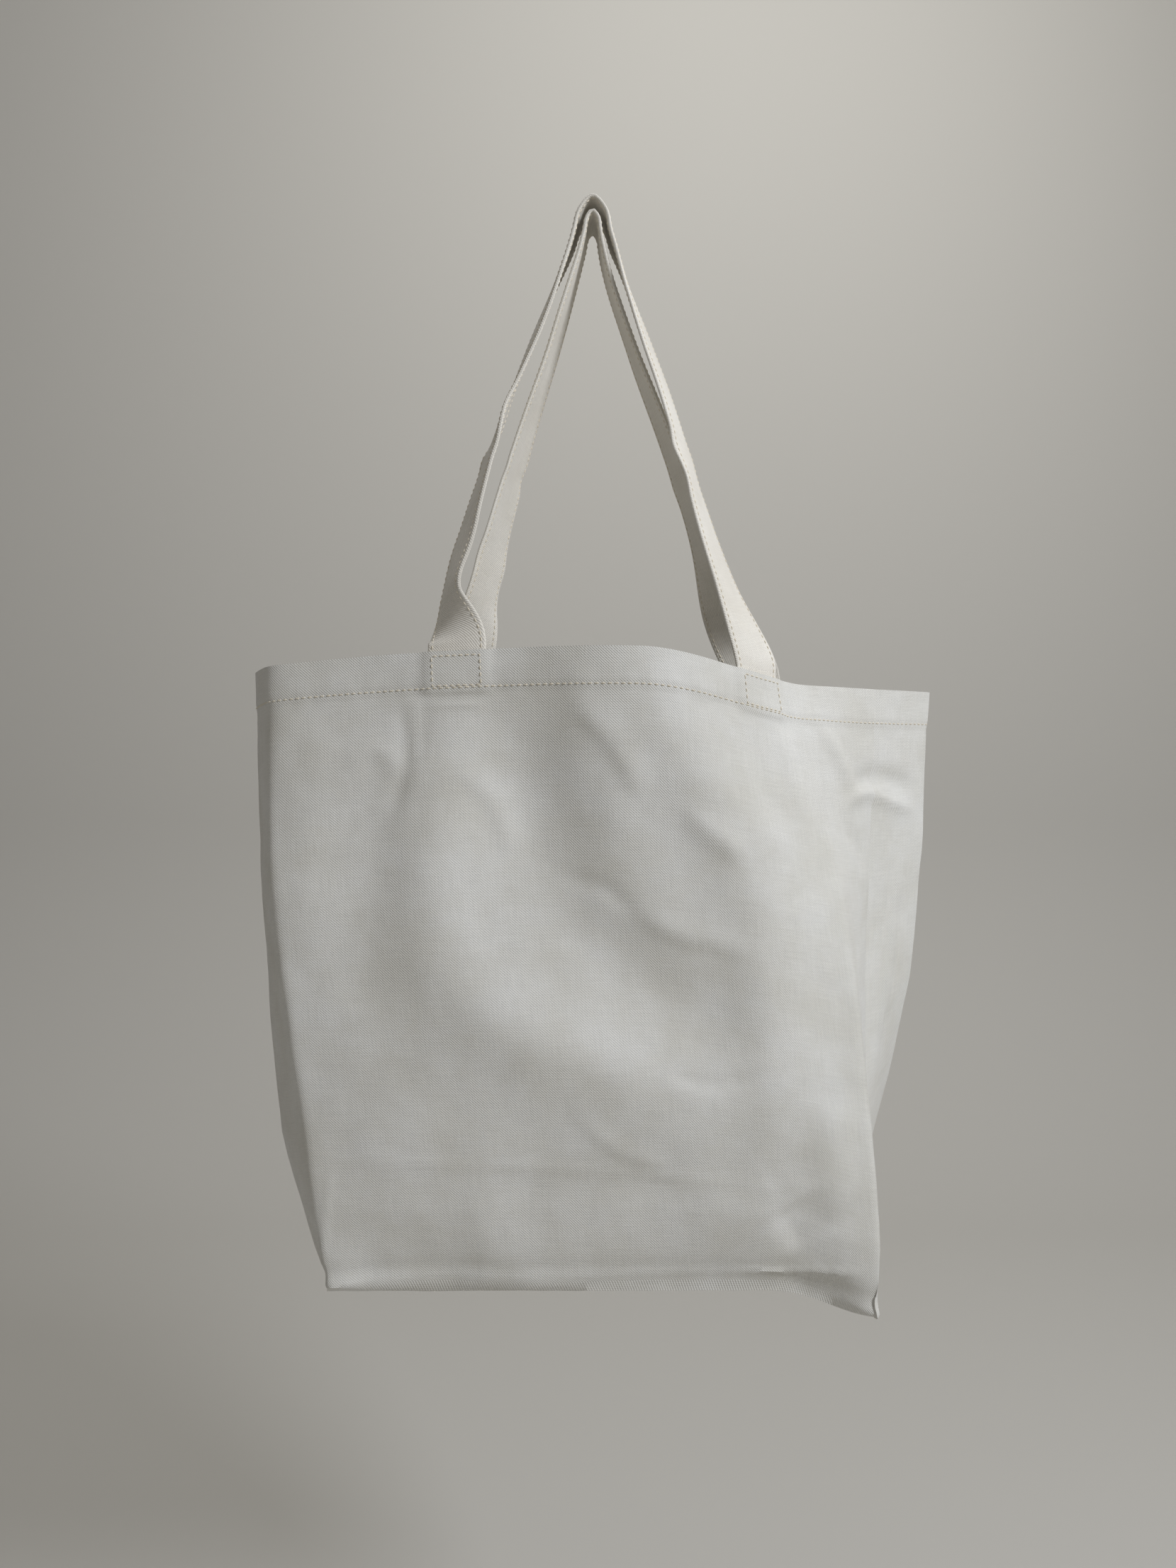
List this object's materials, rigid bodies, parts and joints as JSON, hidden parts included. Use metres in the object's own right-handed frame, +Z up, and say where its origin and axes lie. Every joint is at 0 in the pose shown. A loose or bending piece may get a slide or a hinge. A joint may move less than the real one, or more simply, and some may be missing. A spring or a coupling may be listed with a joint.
{
  "type": "canvas tote bag",
  "caption": "Open canvas tote bag with a boxed base, a stitched hem and a pair of sewn loop handles, shaped as it hangs from one peg.",
  "frame": {"origin": "the hanging point: the underside of the top of the inner handle's loop, where a peg or hook holds the bag", "axes": "+X to the viewer's right across the front panel, +Y from the front panel to the back panel, +Z up"},
  "size_m": [0.3893, 0.1204, 0.6076],
  "materials": {
    "canvas": "unbleached cotton twill canvas, matt, softly creased",
    "strap": "folded canvas strap, matt, edge stitched",
    "seam_edge": "overlocked canvas edges, fuzzy",
    "thread": "natural cotton sewing thread"
  },
  "bodies": {
    "bag": {"front_panel": "canvas", "back_panel": "canvas", "left_side_seam": "seam_edge", "right_side_seam": "seam_edge", "base_seam": "seam_edge", "left_corner_seam": "seam_edge", "right_corner_seam": "seam_edge", "hem_stitching": "thread", "front_handle_left_end": "strap", "front_handle_right_end": "strap", "back_handle_left_end": "strap", "back_handle_right_end": "strap", "front_handle_left_stitching": "thread", "front_handle_right_stitching": "thread", "back_handle_left_stitching": "thread", "back_handle_right_stitching": "thread"},
    "front_handle": {"front_handle_left_leg": "strap", "front_handle_top": "strap", "front_handle_right_leg": "strap"},
    "back_handle": {"back_handle_left_leg": "strap", "back_handle_top": "strap", "back_handle_right_leg": "strap"}
  },
  "joints": [
    {"name": "front_handle_swing", "type": "hinge", "parent": "bag", "child": "front_handle", "pos_m": [0.007, -0.06, -0.246], "axis": [1, 0, 0], "range_deg": [0, 150]},
    {"name": "back_handle_swing", "type": "hinge", "parent": "bag", "child": "back_handle", "pos_m": [0.01, 0.038, -0.246], "axis": [1, 0, 0], "range_deg": [-150, 0]}
  ]
}
